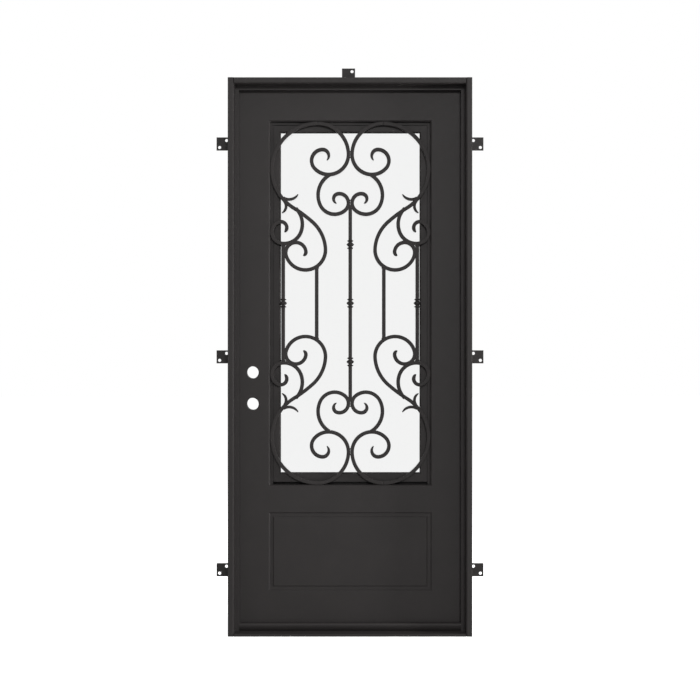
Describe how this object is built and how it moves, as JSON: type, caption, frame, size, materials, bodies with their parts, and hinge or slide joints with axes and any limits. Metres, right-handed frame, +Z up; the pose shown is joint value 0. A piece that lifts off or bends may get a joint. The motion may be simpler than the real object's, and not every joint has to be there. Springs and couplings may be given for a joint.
{
  "type": "iron front door in its frame",
  "caption": "Single entry door of welded steel in its own frame, with a tall glazed opening behind a wrought scroll grille, a sunk kick panel and fixing tabs; the leaf swings inwards.",
  "frame": {"origin": "middle of the sill's underside, half way through the frame's depth", "axes": "+Z up, +X towards the hinges, -Y outdoors"},
  "size_m": [1.182, 0.176, 2.496],
  "materials": {
    "iron": "satin, near-black bronze paint",
    "wrought_iron": "satin, near-black bronze paint",
    "hinge_steel": "satin, near-black bronze paint",
    "strike_steel": "brushed",
    "rubber": "matte black",
    "glass": "clear"
  },
  "bodies": {
    "frame": {"jamb_lock_side": "iron", "jamb_hinge_side": "iron", "head_jamb": "iron", "threshold": "iron", "tabs_lock_side": "iron", "tabs_hinge_side": "iron", "tab_head": "iron", "seal_lock_side": "rubber", "seal_hinge_side": "rubber", "seal_head": "rubber", "strike_plates": "strike_steel", "hinge_barrels_frame": "hinge_steel"},
    "leaf": {"hinge_barrels_leaf": "hinge_steel", "lock_stile": "iron", "hinge_stile": "iron", "top_rail": "iron", "lock_rail": "iron", "bottom_rail": "iron", "kick_panel": "iron", "glazing_frame_top": "iron", "glazing_frame_bottom": "iron", "glazing_frame_lock_side": "iron", "glazing_frame_hinge_side": "iron", "glass_unit": "glass", "door_sweep": "rubber", "ring_scroll_upper_lock_side": "wrought_iron", "heart_scroll_upper_lock_side": "wrought_iron", "side_scroll_upper_lock_side": "wrought_iron", "ring_scroll_upper_hinge_side": "wrought_iron", "heart_scroll_upper_hinge_side": "wrought_iron", "side_scroll_upper_hinge_side": "wrought_iron", "ring_scroll_lower_lock_side": "wrought_iron", "heart_scroll_lower_lock_side": "wrought_iron", "side_scroll_lower_lock_side": "wrought_iron", "ring_scroll_lower_hinge_side": "wrought_iron", "heart_scroll_lower_hinge_side": "wrought_iron", "side_scroll_lower_hinge_side": "wrought_iron", "grille_thorns": "wrought_iron", "centre_bar": "wrought_iron", "inner_bar_lock_side": "wrought_iron", "inner_bar_hinge_side": "wrought_iron", "side_bar_lock_side": "wrought_iron", "side_bar_hinge_side": "wrought_iron", "bar_knuckles": "wrought_iron"}
  },
  "joints": [
    {"name": "leaf_swing", "type": "hinge", "parent": "frame", "child": "leaf", "pos_m": [0.50225, 0.09, 1.22], "axis": [0, 0, -1], "range_deg": [0, 100]}
  ]
}
